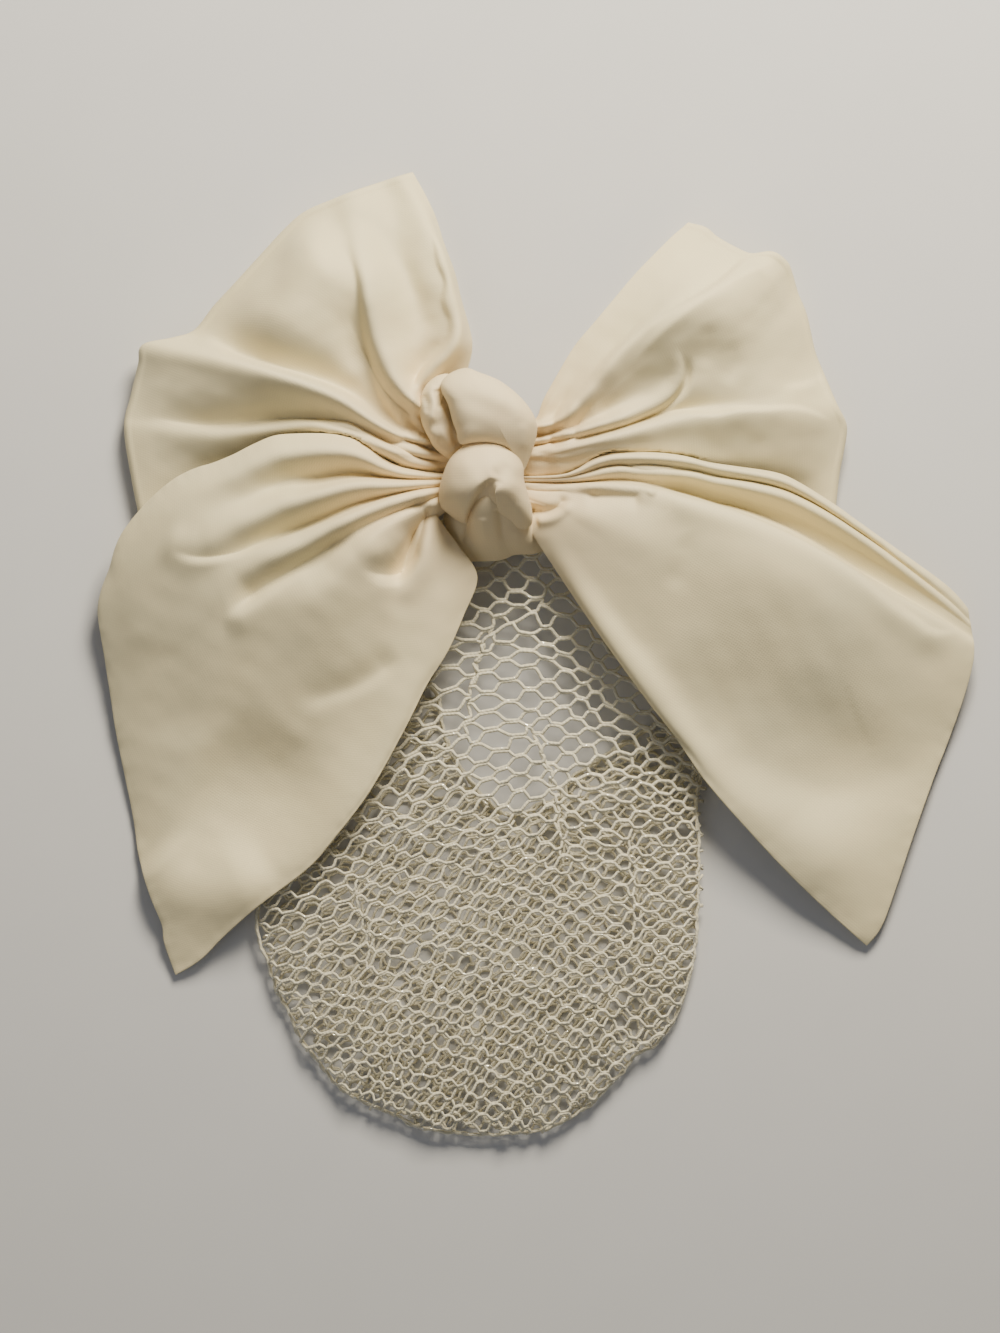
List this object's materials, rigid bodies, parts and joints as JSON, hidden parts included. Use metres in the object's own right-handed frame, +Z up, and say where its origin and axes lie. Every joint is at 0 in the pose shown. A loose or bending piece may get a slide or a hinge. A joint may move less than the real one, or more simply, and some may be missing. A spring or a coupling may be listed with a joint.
{
  "type": "hair net with bow",
  "caption": "Knitted hair net bag hanging from a barrette under a large soft cloth bow with loops, pointed tails and a rolled knot.",
  "frame": {"origin": "on the surface it lies on, below the middle of its bounding box", "axes": "+Y from the net bag's closed bottom towards the bow's upper loops, +Z up from the hair side to the knot, +X to the right as seen from above"},
  "size_m": [0.2188, 0.2418, 0.0389],
  "materials": {
    "cloth": "matte woven polyester with a soft sheen, cream",
    "knit": "knitted cotton net with fine glittering threads, cream",
    "clip_metal": "satin plated spring steel"
  },
  "bodies": {
    "root": {"upper_left_loop": "cloth", "upper_right_loop": "cloth", "lower_left_tail": "cloth", "lower_right_tail": "cloth", "knot_over": "cloth", "knot_under": "cloth", "knot_lip": "cloth", "knot_tuck": "cloth", "knot_strip": "cloth", "net_bag": "knit", "barrette": "clip_metal"}
  },
  "joints": []
}
